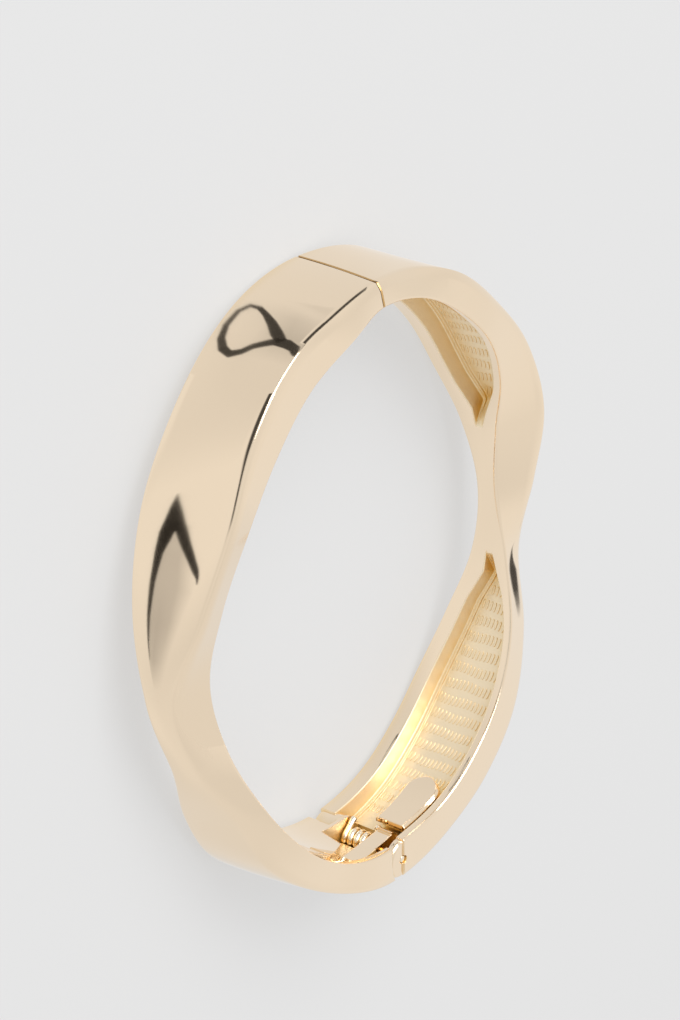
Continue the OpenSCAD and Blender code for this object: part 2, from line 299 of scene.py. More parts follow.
def outer_face(angle, u):
    """A point of the outer face: u runs from the near outer edge to the far one."""
    near_out = np.array([edge(angle, NEAR_OUT), thick(angle, NEAR_T)])
    far_out = np.array([edge(angle, FAR_OUT), thick(angle, FAR_T)])
    return (1 - u) * near_out + u * far_out + np.array([0.0, 4 * CROWN * u * (1 - u)])


def outside(angle):
    """The section's outside, from the near rim over the outer face to the far rim."""
    near_in = np.array([edge(angle, NEAR_IN), 0.0])
    far_in = np.array([edge(angle, FAR_IN), 0.0])
    near_out, far_out = outer_face(angle, 0), outer_face(angle, 1)
    bevel = OUTER_BEVEL + (WAIST_BEVEL - OUTER_BEVEL) * math.sin(math.radians(angle)) ** 2
    cut = min(bevel / np.linalg.norm(far_out - near_out), CUT_SHARE)
    soft = softness(angle)
    near_arc = corner(near_out, near_in, outer_face(angle, cut), bevel, OUTER_ARC, soft)
    far_arc = corner(far_out, outer_face(angle, 1 - cut), far_in, bevel, OUTER_ARC, soft)
    # Two narrow strips beside the bevels keep their shading off the face
    shares = [HOLD_STRIP] + [i / OUTER_FACE for i in range(1, OUTER_FACE)] + [1 - HOLD_STRIP]
    middle = [outer_face(angle, cut + (1 - 2 * cut) * share) for share in shares]
    return (
        corner(near_in, far_in, near_out, INNER_BEVEL, INNER_ARC)
        + near_arc + middle + far_arc
        + corner(far_in, far_out, near_in, INNER_BEVEL, INNER_ARC)
    )


def full_w(angle):
    return edge(angle, NEAR_IN) - edge(angle, FAR_IN)


def spare(angle):
    """Width that the rims take up as the pocket closes."""
    room = full_w(angle) - NEAR_RIM - FAR_RIM
    return max(0.0, room - max(0.0, POCKET_SPREAD * (full_w(angle) - CLOSED_W)))


def depth(angle, span):
    """How deep the pocket with these ends is: it closes where the band is narrow."""
    gate = min((angle - span[0]) / POCKET_RAMP, (span[1] - angle) / POCKET_RAMP)
    opening = full_w(angle) - NEAR_RIM - FAR_RIM - spare(angle)
    room = min(thick(angle, NEAR_T), thick(angle, FAR_T)) - SKIN_T
    return step(gate, 0, 1) * min(max(min(opening * POCKET_SLOPE, room), 0.0), POCKET_D)


def side(angle, inner, outer, across_t, d):
    """Where a side face stands at a depth, with the least wall added."""
    u = min(1.0, (d + SIDE_T) / thick(angle, across_t))
    return (1 - u) * edge(angle, inner) + u * edge(angle, outer)


def rims(angle, d):
    """Where the pocket's two rims end, across the band."""
    near_in, far_in = edge(angle, NEAR_IN), edge(angle, FAR_IN)
    middle, least = (near_in + far_in) / 2, SLIVER * (near_in - far_in) / 2
    near = min(
        near_in - NEAR_RIM - NEAR_SPARE * spare(angle),
        side(angle, NEAR_IN, NEAR_OUT, NEAR_T, d) - SIDE_T,
    )
    far = max(
        far_in + FAR_RIM + (1 - NEAR_SPARE) * spare(angle),
        side(angle, FAR_IN, FAR_OUT, FAR_T, d) + SIDE_T,
    )
    return max(near, middle + least), min(far, middle - least)


def pocket_floor(angle, span):
    """The depth of a pocket's floor, its near and far edge and the ledge beside it."""
    d = depth(angle, span)
    near, far = rims(angle, d)
    lean = WALL_DRAFT * d
    width = near - far - 2 * lean
    near_floor = near - lean - min(NEAR_LEDGE_W, 0.1 * width)
    far_floor = far + lean + min(LEDGE_W, 0.25 * width)
    return d, near_floor, far_floor, LEDGE_H * (d / POCKET_D)


def inside(angle, span):
    """The section's inside, from the near rim into the pocket, over its ledges, to the far rim."""
    d = depth(angle, span)
    near, far = rims(angle, d)
    lean = WALL_DRAFT * d
    _, near_floor, far_floor, ledge = pocket_floor(angle, span)
    lip = LIP_LEAST + min(LIP, 0.3 * d)
    foot = FOOT_LEAST + min(FOOT, 0.2 * d)
    if d < 1e-6:
        # No pocket here: the same points lie side by side on the inner face
        lean, near_floor, far_floor = 0.05, near - 0.15, far + 0.15
    corners = [
        (near + 0.3, 0.0), (near, 0.0), (near - lean, d - ledge), (near_floor, d - ledge),
        (near_floor - 0.25 * ledge - 0.01, d), (far_floor + 0.25 * ledge + 0.01, d),
        (far_floor, d - ledge), (far + lean, d - ledge), (far, 0.0), (far - 0.3, 0.0),
    ]
    corners = [np.array(c) for c in corners]
    sizes = (lip, foot, 0.05, 0.08, 0.08, 0.05, foot, lip)
    arcs = [
        corner(corners[i + 1], corners[i], corners[i + 2], size, POCKET_ARC)
        for i, size in enumerate(sizes)
    ]
    # The floor between the two ledges is divided too
    a, b = arcs[3][-1], arcs[4][0]
    arcs[3] += [a + (b - a) * k / FLOOR_STEPS for k in range(1, FLOOR_STEPS)]
    return [p for arc in arcs for p in arc]


# Mesh helpers

def make_piece(name, points, faces, sharp=35):
    """A mesh in the scene, with its faces turned outwards and drawn smooth."""
    me = bpy.data.meshes.new(name)
    me.from_pydata([tuple(p) for p in points], [], [tuple(f) for f in faces])
    me.validate()
    bm = bmesh.new()
    bm.from_mesh(me)
    bmesh.ops.recalc_face_normals(bm, faces=bm.faces)
    bm.to_mesh(me)
    bm.free()
    ob = bpy.data.objects.new(name, me)
    bpy.context.scene.collection.objects.link(ob)
    smooth(ob, sharp)
    return ob


def smooth(ob, sharp):
    ob.data.polygons.foreach_set("use_smooth", [True] * len(ob.data.polygons))
    ob.data.set_sharp_from_angle(angle=math.radians(sharp))


def loft(name, sections, sharp=35):
    """A closed solid through sections that all have the same number of points."""
    n = len(sections[0])
    last = len(sections) - 1
    points = [p for s in sections for p in s]
    faces = [
        (k * n + i, k * n + (i + 1) % n, (k + 1) * n + (i + 1) % n, (k + 1) * n + i)
        for k in range(last) for i in range(n)
    ]
    faces.append(tuple(range(n))[::-1])
    faces.append(tuple(last * n + i for i in range(n)))
    return make_piece(name, points, faces, sharp)


def lathe(name, profile, sides=BAR_SIDES):
    """A round bar about the pin's axis: each row is a radius and a place across the band."""
    turn = [2 * math.pi * i / sides for i in range(sides)]
    rings = [[from_pin(r * math.cos(t), r * math.sin(t), z) for t in turn] for r, z in profile]
    return loft(name, rings)


def set_index(ob, index):
    ob.data.polygons.foreach_set("material_index", [index] * len(ob.data.polygons))
    return ob


def bar(radius, low, high, index=PLATED):
    return set_index(lathe("tool", [(radius, low), (radius, high)]), index)


def apply(ob, mod):
    with bpy.context.temp_override(object=ob, active_object=ob):
        bpy.ops.object.modifier_apply(modifier=mod.name)


def combine(ob, tool, operation):
    """Joins, or cuts away, a tool, which is then removed."""
    mod = ob.modifiers.new(operation.title(), "BOOLEAN")
    mod.operation = operation
    mod.solver = "EXACT"
    mod.material_mode = "INDEX"
    mod.object = tool
    apply(ob, mod)
    me = tool.data
    bpy.data.objects.remove(tool)
    bpy.data.meshes.remove(me)


def flatten(ob):
    """Keeps the broad faces flat beside their rounded edges."""
    mod = ob.modifiers.new("Flat", "WEIGHTED_NORMAL")
    mod.keep_sharp = True
    apply(ob, mod)


def dress(ob, materials, body, slot, *nodes):
    """Gives a piece its materials and body, and hides the CAD nodes that it replaces. The slot is
    not used.
    """
    for mat in materials:
        ob.data.materials.append(mat)
    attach(ob, body)
    if nodes:
        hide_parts(*nodes)


# Materials

# How far round a point the painted shade looks for hollows, in metres
SHADE_REACH = 0.0022
# Where the painted shade begins to deepen the colour and where it is deepest, as shares of open sky
SHADE_SKY = (0.35, 0.85)
CLOUD_SCALE = 120
ROUGH_RANGE = (0.8, 1.25)
SAMPLES = 6


def node(tree, kind, **inputs):
    """A new shader node with its inputs set, in whose names _ stands for a space."""
    made = tree.nodes.new("ShaderNode" + kind)
    for name, setting in inputs.items():
        made.inputs[name.replace("_", " ")].default_value = setting
    return made


def metal(name, colour, deep, rough, grain, relief, edge_round, shine=1.0):
    """Polished plating, with faint ripples and softened edges, and painted shade: its colour turns
    to the deep one in hollows.
    """
    mat = bpy.data.materials.new(name)
    mat.use_nodes = True
    tree = mat.node_tree
    link = tree.links.new
    shader = tree.nodes["Principled BSDF"]
    shader.inputs["Metallic"].default_value = shine
    coords = node(tree, "TexCoord")
    # Painted shade: the colour turns to the deep one in hollows, as ambient occlusion finds them
    shade_ao = node(tree, "AmbientOcclusion", Distance=SHADE_REACH)
    shade_ao.samples = SAMPLES
    spread = node(tree, "MapRange", From_Min=SHADE_SKY[0], From_Max=SHADE_SKY[1])
    mix = tree.nodes.new("ShaderNodeMix")
    mix.data_type = "RGBA"
    mix.inputs["A"].default_value = (*deep, 1)
    mix.inputs["B"].default_value = (*colour, 1)
    link(shade_ao.outputs["AO"], spread.inputs["Value"])
    link(spread.outputs["Result"], mix.inputs["Factor"])
    link(mix.outputs["Result"], shader.inputs["Base Color"])
    # Cloudy roughness, as plating has
    cloud = node(tree, "TexNoise", Scale=CLOUD_SCALE, Detail=3)
    ramp = node(tree, "MapRange", To_Min=rough * ROUGH_RANGE[0], To_Max=rough * ROUGH_RANGE[1])
    link(coords.outputs["Object"], cloud.inputs["Vector"])
    link(cloud.outputs["Fac"], ramp.inputs["Value"])
    link(ramp.outputs["Result"], shader.inputs["Roughness"])
    # Softened edges and the faint ripple of a cast and polished face
    ripple = node(tree, "TexNoise", Scale=grain, Detail=2)
    bump = node(tree, "Bump", Strength=1.0, Distance=relief)
    rounder = node(tree, "Bevel", Radius=edge_round)
    rounder.samples = SAMPLES
    link(coords.outputs["Object"], ripple.inputs["Vector"])
    link(ripple.outputs["Fac"], bump.inputs["Height"])
    link(rounder.outputs["Normal"], bump.inputs["Normal"])
    link(bump.outputs["Normal"], shader.inputs["Normal"])
    return mat


# Each gold's second colour is the painted shade that its hollows take
GOLD = metal(
    "gold_plate", (0.97, 0.80, 0.60), (0.92, 0.70, 0.40),
    rough=0.045, grain=160, relief=0.000003, edge_round=0.00022,
)
POCKET_GOLD = metal(
    "gold_pocket", (0.94, 0.80, 0.58), (0.82, 0.55, 0.15),
    rough=0.38, grain=900, relief=0.00004, edge_round=0.00008, shine=0.85,
)
# The seam's end faces take a darker orange gold: painted shade in the narrow gap between the halves
SEAM_SHADE_GOLD = metal(
    "gold_seam", (0.72, 0.46, 0.20), (0.50, 0.28, 0.10),
    rough=0.3, grain=900, relief=0.00001, edge_round=0.00005,
)
PIN_GOLD = metal(
    "gold_pin", (0.98, 0.88, 0.72), (0.90, 0.70, 0.42),
    rough=0.14, grain=300, relief=0.000008, edge_round=0.00008,
)


# The two halves

# The least depth that takes the pocket's material
POCKET_EDGE = 0.02
# How far a cut stays off the face beside it
CUT_REST = 0.02
# How much of the bay's sides the deep cut leaves
BAY_SKIN = 0.05


def band(name, start, stop, span):
    """A half of the band from one angle to another, with a pocket between the angles of span."""
    sections = []
    shares = [k / SLICES for k in range(SLICES + 1)]
    near_seam = SEAM_SOFT_A / (stop - start)
    shares += [near_seam, 1 - near_seam]
    angles = [start + (stop - start) * share for share in sorted(shares)]
    for angle in angles:
        out = outside(angle)
        ring = np.array(out + inside(angle, span)[::-1])
        from_seam = min(angle, 360 - angle) - SEAM_A
        if from_seam < SEAM_SOFT_A:
            # A small bevel beside the seam
            way = ring.mean(0) - ring
            way /= np.linalg.norm(way, axis=1)[:, None]
            ring = ring + way * SEAM_SOFT * (1 - from_seam / SEAM_SOFT_A)
        sections.append([place(angle, p[0], p[1]) for p in ring])
    ob = loft(name, sections, BAND_SHARP)
    n = len(ring)
    index = np.full(len(ob.data.polygons), PLATED, dtype=np.int32)
    for k, angle in enumerate(angles[1:]):
        if depth(angle, span) > POCKET_EDGE:
            index[k * n + len(out):(k + 1) * n - 1] = HOLLOW
    # The last two faces of a loft are its ends
    at_start = start < 90
    index[slice(0, n) if at_start else slice(-2 - n, -2)] = SEAM_END
    index[-2 if at_start else -1] = SEAM_END
    ob.data.polygons.foreach_set("material_index", index)
    for mat in (GOLD, POCKET_GOLD, SEAM_SHADE_GOLD):
        ob.data.materials.append(mat)
    return ob


def trench(rows, rise, index=HOLLOW):
    """A cut in the inner face of the front half.

    Each row has a distance from the pin, the far side, the near side and the depth there.
    """
    rings = []
    for first, second in zip(rows, rows[1:]):
        # The last stretch has its end too
        for k in range(TRENCH_STEPS + (second is rows[-1])):
            r, far, near, d = (a + (b - a) * k / TRENCH_STEPS for a, b in zip(first, second))
            angle = HINGE_A - math.degrees(r / (INNER_W / 2))
            outline = ((near, -rise), (near, d), (far, d), (far, -rise))
            rings.append([place(angle, across, height) for across, height in outline])
    return set_index(loft("tool", rings), index)


def ear_room(low, high):
    """A cut that lets an ear turn past the front half."""
    room = EAR_R + BARREL_GAP
    arc = [(room * math.cos(t), room * math.sin(t)) for t in np.radians(np.arange(180, 361, 4))]
    outline = arc + [(room + 1, 0), (room + 1, PIN_DEPTH + 2), (-room, PIN_DEPTH + 2)]
    return loft("tool", [[from_pin(x, y, z) for x, y in outline] for z in (low, high)])


def ear(inner, free):
    """A round ear from its inner face to its free one, whose edge is rounded."""
    way = 1 if free > inner else -1
    soft = [(0.0, 1.0), (0.1, 0.62), (0.35, 0.3), (0.62, 0.1), (1.0, 0.0)]
    profile = [(EAR_R, inner)]
    profile += [(EAR_R - EAR_BEVEL * a, free - way * EAR_BEVEL * b) for a, b in soft]
    return lathe("tool", profile if way > 0 else profile[::-1])


front = band("front_band", SEAM_A, HINGE_A - SEAM_A, FRONT_POCKET)
combine(front, bar(BARREL_R, *FAR_KNUCKLE_Z), "UNION")
combine(front, bar(BARREL_R, *NEAR_KNUCKLE_Z), "UNION")
combine(front, ear_room(-HALF_W - 2, FAR_KNUCKLE_Z[0] - CUT_REST), "DIFFERENCE")
combine(front, ear_room(NEAR_KNUCKLE_Z[1] + CUT_REST, HALF_W + 2), "DIFFERENCE")
# The spring's bay: a round cut for the coils and a deep one beside it
combine(front, bar(BAY_R, BAY[0] + CUT_REST, BAY[1] - CUT_REST, HOLLOW), "DIFFERENCE")
combine(front, trench([
    (-0.5, BAY[0] + BAY_SKIN, BAY[1] - BAY_SKIN, PIN_DEPTH - 0.1),
    (BAY_R * 0.8, BAY[0] + BAY_SKIN, BAY[1] - BAY_SKIN, PIN_DEPTH - 0.1),
    (BAY_L, BAY[0] + BAY_SKIN, BAY[1] - BAY_SKIN, PIN_DEPTH * 0.7),
    (BAY_L + 1, BAY[1] - 0.35, BAY[1] - BAY_SKIN, PIN_DEPTH * 0.7),
], 1.5), "DIFFERENCE")
# The channel from the bay along the pocket
combine(front, trench([
    (-0.7, BAY[1] - 0.15, RIM_A, CHANNEL_D * 0.4),
    (CLEAR_R, BAY[1] - 0.15, RIM_A, CHANNEL_D * 0.6),
    (BAY_L + 1, BAY[1] - 0.35, RIM_A, CHANNEL_D),
    (CHANNEL_L, RIM_A - 0.3, RIM_A, CHANNEL_D * 0.4),
], 2.0, PLATED), "DIFFERENCE")
# The groove beside the near knuckle
combine(front, trench([
    (CLEAR_R * 0.6, NEAR_KNUCKLE_Z[1] + 0.15, RIM_A - 0.06, GROOVE_D * 0.9),
    (GROOVE_L * 0.7, NEAR_KNUCKLE_Z[1] + 0.2, RIM_A - 0.06, GROOVE_D),
    (GROOVE_L, RIM_A - 0.4, RIM_A - 0.06, GROOVE_D * 0.5),
], 1.1), "DIFFERENCE")
combine(front, bar(BORE_R, -HALF_W, HALF_W, HOLLOW), "DIFFERENCE")
smooth(front, BAND_SHARP)
flatten(front)
dress(front, [], "front", "gold_tone", "front_half")

back = band("back_band", HINGE_A + SEAM_A, 360 - SEAM_A, BACK_POCKET)
combine(back, ear(FAR_EAR_IN, -HINGE_W / 2), "UNION")
combine(back, ear(NEAR_EAR_IN, HINGE_W / 2), "UNION")
combine(back, bar(CLEAR_R, FAR_EAR_IN + CUT_REST, NEAR_EAR_IN - CUT_REST, HOLLOW), "DIFFERENCE")
combine(back, bar(BORE_R, -HALF_W - 1, HALF_W + 1, HOLLOW), "DIFFERENCE")
smooth(back, BAND_SHARP)
flatten(back)
dress(back, [], "back", "gold_tone", "back_half")


# The raised dashes on the pockets' floors, in rows across the band

# A dash's outline, as shares of its length and of half its width
DASH_OUTLINE = ((-0.5, 0), (-0.36, 1), (0.36, 1), (0.5, 0), (0.36, -1), (-0.36, -1))
# Width and length, as shares, and height of its foot and its top
DASH_LEVELS = ((1.0, 1.0, -DASH_SINK), (0.72, 0.9, DASH_H))


def add_dash(points, faces, mid, across, long, span):
    start = len(points)
    n = len(DASH_OUTLINE)
    for wide, share, lift in DASH_LEVELS:
        for u, w in DASH_OUTLINE:
            turn = mid + long * u * share
            side_way = across + 0.5 * DASH_W * w * wide + DASH_SKEW * u
            points.append(place(turn, side_way, pocket_floor(turn, span)[0] - lift))
    for j in range(n):
        a, b = start + j, start + (j + 1) % n
        faces.append([a, b, b + n, a + n])
    faces.append([start + n + j for j in range(n)])


def relief(name, span, first, last):
    points, faces = [], []
    angle, row = first, 0
    while angle < last:
        a = math.radians(angle)
        speed = math.hypot(math.cos(a) * INNER_W / 2, math.sin(a) * INNER_L / 2)
        long = math.degrees(DASH_L / speed)
        ends = [pocket_floor(angle + long * u, span) for u in (-0.5, 0.5)]
        near = min(e[1] for e in ends) - DASH_MARGIN
        far = max(e[2] for e in ends) + DASH_MARGIN
        if min(e[0] for e in ends) > DASH_DEPTH * POCKET_D:
            across = far + (DASH_STAGGER if row % 2 else 0.0) * DASH_PITCH
            k = 0
            while across < near:
                # Each dash lies a little before or behind its row
                mid = angle + long * DASH_SWAY * math.sin(1.9 * row + 0.7 * k)
                add_dash(points, faces, mid, across, long, span)
                across += DASH_PITCH
                k += 1
        angle += math.degrees(DASH_ROWS / speed)
        row += 1
    return make_piece(name, points, faces, DASH_SHARP)


dress(relief("back_relief", BACK_POCKET, 189, 342), [POCKET_GOLD], "back", "gold_tone")
dress(relief("front_relief", FRONT_POCKET, 18, 140), [POCKET_GOLD], "front", "gold_tone")


# The pin, with a domed end

def make_pin():
    half = HINGE_W / 2 + PIN_PROUD
    # Radius, and distance from the pin's end
    dome = [(0.02, 0.0), (PIN_R * 0.6, 0.01), (PIN_R * 0.85, 0.06), (PIN_R, 0.18)]
    profile = [(r, half - d) for r, d in dome]
    return lathe("pin", profile + [(r, -z) for r, z in reversed(profile)], PIN_SIDES)


dress(make_pin(), [PIN_GOLD], "back", "pin_metal", "hinge_pin")


# The spring: a straight leg, the coils and a straight leg, with rounded ends

def spring_path():
    """Points along the wire, from the pin, and the wire's radius at each."""
    r = WIRE / 2
    low, high = BAY[0] + r + COIL_ROOM, BAY[1] - r - COIL_ROOM
    steps = int(TURNS * COIL_STEPS)

    def coil(u):
        a = math.radians(FIRST_TURN + 360 * TURNS * u)
        return np.array([COIL_R * math.cos(a), COIL_R * math.sin(a), low + (high - low) * u])

    def way(u):
        a = math.radians(FIRST_TURN + 360 * TURNS * u)
        return np.array([-math.sin(a), math.cos(a), 0.0])

    # Distance from the wire's end and radius, for a rounded end
    tip = [(0.0, 0.05), (0.06 * r, 0.35 * r), (0.2 * r, 0.62 * r), (0.5 * r, 0.88 * r), (r, r)]
    leg = [LEG_L * k / LEG_STEPS for k in range(LEG_STEPS - 1, 0, -1)]
    along = [LEG_L - d for d, _ in tip] + [d for d in leg if d < LEG_L - r]
    thick_at = [size for _, size in tip] + [r] * (len(along) - len(tip))
    path = [coil(0) - way(0) * d for d in along]
    path += [coil(i / steps) for i in range(steps + 1)]
    path += [coil(1) + way(1) * d for d in reversed(along)]
    return path, thick_at + [r] * (steps + 1) + thick_at[::-1]


def tube(name, path, radius):
    """A round wire along a path, with a radius at each of its points."""
    turn = [2 * math.pi * j / WIRE_SIDES for j in range(WIRE_SIDES)]
    rings = []
    for k, p in enumerate(path):
        ahead = path[min(k + 1, len(path) - 1)] - path[max(k - 1, 0)]
        ahead = ahead / np.linalg.norm(ahead)
        beside = np.cross(ahead, [0, 0, 1])
        beside /= np.linalg.norm(beside)
        up = np.cross(beside, ahead)
        rings.append([
            from_pin(*(p + (beside * math.cos(t) + up * math.sin(t)) * radius[k])) for t in turn
        ])
    return loft(name, rings, WIRE_SHARP)


spring = tube("spring", *spring_path())
spring.data.materials.append(PIN_GOLD)
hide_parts("hinge_spring")
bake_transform(spring)


# The plate beside the hinge, in the back half's pocket

# How far from the plate's start it reaches down to the pocket's floor
PLATE_DEEP = 1
# Half its width at the rounded end's last section
PLATE_TIP = 0.2
# The angles that part the step down, and the last section from the end
STEP_A = 0.01
TIP_A = 0.05


def make_plate():
    start = HINGE_A + math.degrees(math.asin(2 * PLATE_START / INNER_W))
    deep = HINGE_A + math.degrees(math.asin(2 * (PLATE_START + PLATE_DEEP) / INNER_W))
    stop = start + math.degrees(PLATE_L / (INNER_W / 2))
    angles = [start, deep - STEP_A, deep]
    angles += [
        deep + (stop - TIP_A - deep) * math.sin(math.pi / 2 * i / PLATE_STEPS)
        for i in range(1, PLATE_STEPS + 1)
    ]
    rings = []
    for angle in angles:
        left = math.radians(stop - angle) * INNER_W / 2
        near = rims(angle, POCKET_D)[0] - PLATE_GAP - WALL_DRAFT * POCKET_D
        half = (near - PLATE_EDGE) / 2
        mid = PLATE_EDGE + half
        # Narrower towards the rounded end
        wide = half
        if left < half:
            wide = math.sqrt(max(PLATE_TIP ** 2, half * half - (half - left) ** 2))
        low = PLATE_LIP if angle < deep else depth(angle, BACK_POCKET) - LEDGE_H - PLATE_GAP
        cut = min(PLATE_BEVEL, wide / 2)
        corners = [
            (mid + wide, low), (mid + wide, cut), (mid + wide - cut, 0),
            (mid - wide + cut, 0), (mid - wide, cut), (mid - wide, low),
        ]
        rings.append([place(angle, a, h) for a, h in corners])
    return loft("plate", rings, PLATE_SHARP)


dress(make_plate(), [GOLD], "back", "gold_tone", "hinge_plate")


# The camera stands where the photograph was taken from, above the floor that the bangle lies on
CAM_SIDE = math.radians(52.18)
CAM_RISE = math.radians(25.63)
CAM_ROLL = math.radians(-2.65)
# The bangle's middle from that of the picture, and the camera's distance, in millimetres
CAM_SHIFT = (1.76, -6.84)
CAM_DISTANCE = 200.0
CAM_LENS = 68.6
CAM_SENSOR = 36


def camera_frame():
    """The ways to the right, up and back towards the camera, in the row frame."""
    back_way = Vector((
        -math.cos(CAM_RISE) * math.sin(CAM_SIDE),
        math.sin(CAM_RISE),
        math.cos(CAM_RISE) * math.cos(CAM_SIDE),
    ))
    right = Vector((math.cos(CAM_SIDE), 0, math.sin(CAM_SIDE)))
    up = back_way.cross(right)
    c, s = math.cos(CAM_ROLL), math.sin(CAM_ROLL)
    return c * right + s * up, c * up - s * right, back_way


def make_camera():
    right, up, back_way = camera_frame()
    middle = Vector(CENTRE)
    spot = (middle - right * CAM_SHIFT[0] - up * CAM_SHIFT[1] + back_way * CAM_DISTANCE) * MM
    data = bpy.data.cameras.new("camera")
    data.lens = CAM_LENS
    data.sensor_width = CAM_SENSOR
    data.clip_start = 0.01
    data.clip_end = 20
    cam = bpy.data.objects.new("camera", data)
    bpy.context.scene.collection.objects.link(cam)
    turn = Matrix((right, up, back_way)).transposed().to_4x4()
    cam.matrix_world = Matrix.Translation(spot) @ turn
    bpy.context.scene.camera = cam
    return cam


camera = make_camera()


# The floor

FLOOR_SIZE = 3.0
FLOOR_TONE = (0.22, 0.22, 0.22, 1)
FLOOR_GLOW = 0.52


def floor_material():
    mat = bpy.data.materials.new("floor_paper")
    mat.use_nodes = True
    shader = mat.node_tree.nodes["Principled BSDF"]
    shader.inputs["Base Color"].default_value = FLOOR_TONE
    shader.inputs["Roughness"].default_value = 0.9
    shader.inputs["Specular IOR Level"].default_value = 0.1
    shader.inputs["Emission Color"].default_value = (1, 1, 1, 1)
    shader.inputs["Emission Strength"].default_value = FLOOR_GLOW
    return mat


def make_floor():
    size = FLOOR_SIZE
    corners = [(-size, -size, 0), (size, -size, 0), (size, size, 0), (-size, size, 0)]
    floor = make_piece("floor", corners, [(0, 1, 2, 3)])
    floor.data.materials.append(floor_material())
    # The band mirrors the room around it, as one that stands upright does, and not the floor
    floor.visible_glossy = False


make_floor()


# The cards that the band mirrors

CARD_DISTANCE = 0.07
SPINDLE_DISTANCE = 0.02
WAIST_DISTANCE = 0.012
# The outer face where the strokes are: millimetres to a degree round it, and its width
ROUND_MM = 0.6
FACE_MM = 11


def card_material(name, colour, strength):
    """A card that shows in reflections alone, as strongly as its corners' stored values say."""
    mat = bpy.data.materials.new(name)
    mat.use_nodes = True
    tree = mat.node_tree
    tree.nodes.remove(tree.nodes["Principled BSDF"])
    stored = node(tree, "Attribute")
    stored.attribute_name = "shown"
    clear = node(tree, "BsdfTransparent")
    tone = node(tree, "Emission", Color=(*colour, 1), Strength=strength)
    mix = node(tree, "MixShader")
    tree.links.new(stored.outputs["Fac"], mix.inputs["Fac"])
    tree.links.new(clear.outputs["BSDF"], mix.inputs[1])
    tree.links.new(tone.outputs["Emission"], mix.inputs[2])
    tree.links.new(mix.outputs["Shader"], tree.nodes["Material Output"].inputs["Surface"])
    return mat


DARK = card_material("dark_card", (0.9, 0.85, 0.8), 0.03)
PALE = card_material("pale_card", (1, 1, 1), 0.78)


def near_face(angle, u):
    """A point of the near side face: u runs from the inner edge to the outer one."""
    return (1 - u) * np.array([edge(angle, NEAR_IN), 0.0]) + u * outer_face(angle, 0)


def mirrored(face, distance, angle, u, lean=0.0):
    """Where the camera sees to by way of a face; lean turns the face towards the near side."""
    step_a, step_u = 0.1, 0.01

    def at(a, w):
        return place(a, *face(a, w))

    here = at(angle, u)
    along = at(angle + step_a, u) - at(angle - step_a, u)
    across = at(angle, u - step_u) - at(angle, u + step_u)
    across /= np.linalg.norm(across)
    normal = np.cross(across, along)
    normal /= np.linalg.norm(normal)
    if np.dot(normal, np.array(camera.location) - here) < 0:
        normal = -normal
    normal = math.cos(lean) * normal + math.sin(lean) * across
    ray = here - np.array(camera.location)
    ray /= np.linalg.norm(ray)
    ray -= 2 * np.dot(ray, normal) * normal
    return here + ray * distance


def card(name, rows, material=DARK, face=outer_face, distance=CARD_DISTANCE):
    """A card in the room: each corner has an angle, a share across the face, a strength and a lean.

    The lean may be left out. It is then 0.
    """
    grid = np.array(
        [[tuple(spot) + (0.0,) * (4 - len(spot)) for spot in row] for row in rows], dtype=float
    )
    for axis in (0, 1):
        # More rows between each two, so that the card follows the face closely
        n = grid.shape[axis]
        at = np.linspace(0, n - 1, (n - 1) * CARD_STEPS + 1)
        low = np.minimum(at.astype(int), n - 2)
        u = (at - low).reshape([-1 if i == axis else 1 for i in range(3)])
        grid = (1 - u) * np.take(grid, low, axis) + u * np.take(grid, low + 1, axis)
    high, wide = grid.shape[:2]
    spots = grid.reshape(-1, 4)
    points = [mirrored(face, distance, angle, u, lean) for angle, u, _, lean in spots]
    faces = [
        (k * wide + i, k * wide + i + 1, (k + 1) * wide + i + 1, (k + 1) * wide + i)
        for k in range(high - 1) for i in range(wide - 1)
    ]
    ob = make_piece(name, points, faces)
    shown = ob.data.attributes.new("shown", "FLOAT", "POINT")
    shown.data.foreach_set("value", [spot[2] for spot in spots])
    ob.data.materials.append(material)
    ob.visible_camera = False
    ob.visible_diffuse = False
    ob.visible_shadow = False


def stroke(name, path, dark, soft):
    """A dark line along a path of angle, share across and half width in millimetres.

    dark is its strength, and soft how far its edges fade.
    """
    rows = []
    for k, (angle, u, half) in enumerate(path):
        before, after = path[max(k - 1, 0)], path[min(k + 1, len(path) - 1)]
        way = np.array([(after[0] - before[0]) * ROUND_MM, (after[1] - before[1]) * FACE_MM])
        way /= np.linalg.norm(way)
        row = []
        for w, tone in ((-half - soft, 0), (-half, dark), (half, dark), (half + soft, 0)):
            row.append((angle - way[1] * w / ROUND_MM, u + way[0] * w / FACE_MM, tone))
        rows.append(row)
    card(name, rows)


# The dark ring near the seam and the wedge beside it
stroke("ring_card", [
    (26.2, 0.26, 0.5), (24.6, 0.36, 0.6), (22.4, 0.48, 0.45), (20.6, 0.6, 0.3), (19.4, 0.7, 0.25),
    (19.4, 0.8, 0.22), (21.4, 0.87, 0.24), (25.4, 0.88, 0.3), (28.4, 0.84, 0.4), (30.4, 0.76, 0.45),
    (31.2, 0.66, 0.4), (30.2, 0.56, 0.3), (28.6, 0.48, 0.3), (27.6, 0.4, 0.35), (26.6, 0.32, 0.45),
    (26.4, 0.2, 0.6), (27.0, 0.1, 0.5), (28.5, 0.05, 0.2),
], 0.95, 0.15)
